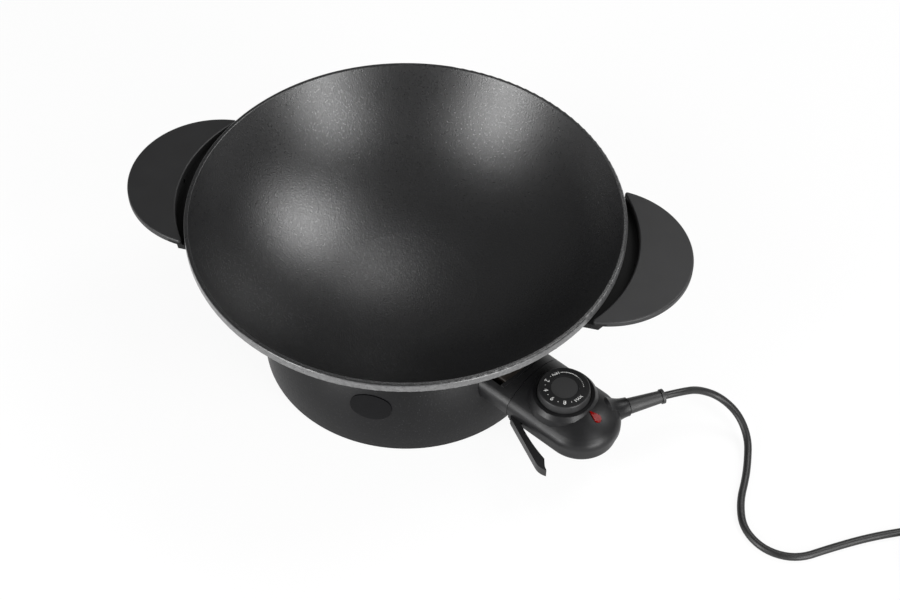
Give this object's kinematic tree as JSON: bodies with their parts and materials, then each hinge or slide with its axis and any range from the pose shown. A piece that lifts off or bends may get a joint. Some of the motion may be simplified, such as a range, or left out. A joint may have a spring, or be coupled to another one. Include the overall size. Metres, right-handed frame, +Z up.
{
  "type": "electric wok",
  "caption": "Electric wok: round cast bowl on a flared foot, two half-moon handles, plug-in thermostat with dial, release lever and mains lead.",
  "frame": {"origin": "on the bowl's axis, at the height of the surface that the rubber feet stand on", "axes": "+X along the handles, +Z up, -Y towards the bare badge on the foot; the thermostat points 28 degrees towards -Y from +X"},
  "size_m": [0.7792, 0.3984, 0.16],
  "materials": {
    "bowl": "non-stick coating, satin",
    "element": "heat-darkened sheath",
    "brass": "bright",
    "ceramic": "unglazed ceramic",
    "steel": "plated",
    "fastener": "zinc plated",
    "guard": "fine satin",
    "foot": "satin black with fine metallic sparkle",
    "sheet": "matt",
    "rubber": "matt",
    "shield": "mill finish",
    "washer": "mineral fibre",
    "badge": "gloss, bare",
    "handle": "matt",
    "housing": "satin",
    "carrier": "phenolic",
    "probe": "polished",
    "lens": "translucent red",
    "lamp": "clear",
    "relief": "satin",
    "lead": "satin",
    "plug": "satin",
    "pins": "nickel plated",
    "spindle": "turned",
    "knob": "fine grain",
    "lever": "satin"
  },
  "bodies": {
    "cooker": {"wok_bowl": "bowl", "heating_element": "element", "terminal_pins": "brass", "terminal_insulators": "ceramic", "probe_well": "steel", "terminal_bracket": "steel", "bracket_screws": "fastener", "socket_guard": "guard", "guard_screws": "fastener", "base_skirt": "foot", "base_plate": "sheet", "base_plate_screws": "fastener", "rubber_feet": "rubber", "heat_shield": "shield", "bowl_screws": "fastener", "insulating_washers": "washer", "badge_plate": "badge", "right_handle": "handle", "left_handle": "handle", "handle_screws": "fastener"},
    "control": {"control_upper_shell": "housing", "control_lower_shell": "housing", "control_screws": "fastener", "contact_carrier": "carrier", "contact_receptacles": "brass", "probe_rod": "probe", "thermostat_switch": "carrier", "indicator_lens": "lens", "indicator_lamp": "lamp", "lever_pin": "steel", "strain_relief": "relief", "power_cord": "lead", "cord_coil": "lead", "cord_tail": "lead", "plug_body": "plug", "plug_pins": "pins"},
    "knob": {"knob_shaft": "spindle", "temperature_knob": "knob"},
    "lever": {"ejector_lever": "lever"}
  },
  "joints": [
    {"name": "control_pull", "type": "slide", "parent": "cooker", "child": "control", "axis": [0.8829, -0.4695, 0], "range_m": [0, 0.085]},
    {"name": "temperature_knob_turn", "type": "hinge", "parent": "control", "child": "knob", "pos_m": [0.15266, -0.08117, 0.07], "axis": [0, 0, 1], "range_deg": [0, 270]},
    {"name": "ejector_lever_swing", "type": "hinge", "parent": "control", "child": "lever", "pos_m": [0.11789, -0.09779, 0.0431], "axis": [0, 0, 1], "range_deg": [0, 16]}
  ]
}
